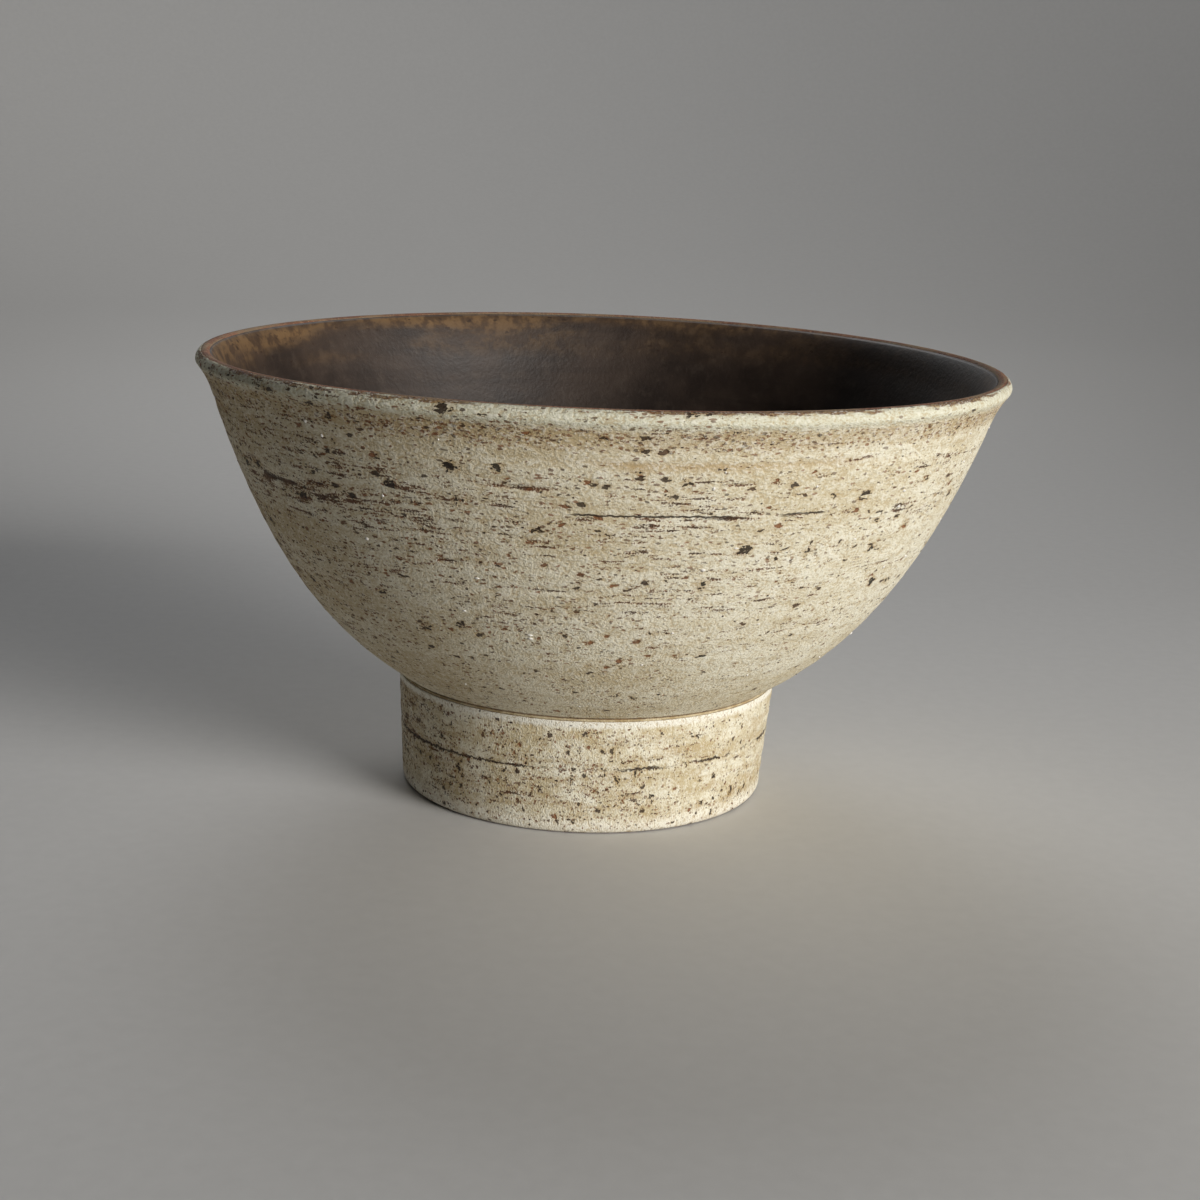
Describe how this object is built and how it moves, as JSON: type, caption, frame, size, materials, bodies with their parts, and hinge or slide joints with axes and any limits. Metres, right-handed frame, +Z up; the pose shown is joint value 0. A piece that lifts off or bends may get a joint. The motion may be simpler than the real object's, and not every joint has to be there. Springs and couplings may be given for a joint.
{
  "type": "footed pottery bowl",
  "caption": "Deep hand-thrown stoneware bowl on a high foot ring, with a flared lip, a pale speckled slip outside and a dark satin glaze inside, for serving food.",
  "frame": {"origin": "on the table, under the middle of the rim", "axes": "+Z up along the throwing axis, +X to the right and +Y away from the viewer in the pictured view; the foot lies a little to the -X side"},
  "size_m": [0.22, 0.22, 0.121],
  "materials": {
    "stoneware": "bare red-brown stoneware, dry and grogged",
    "luting": "dry brown joining slip",
    "pale_slip": "dry cream slip with dark specks, pits and drag lines",
    "dark_glaze": "satin dark brown iron glaze, worn to ochre under the rim"
  },
  "bodies": {
    "root": {"bowl_body": "stoneware", "foot_ring": "stoneware", "luting_slip": "luting", "exterior_slip": "pale_slip", "foot_slip": "pale_slip", "interior_glaze": "dark_glaze"}
  },
  "joints": []
}
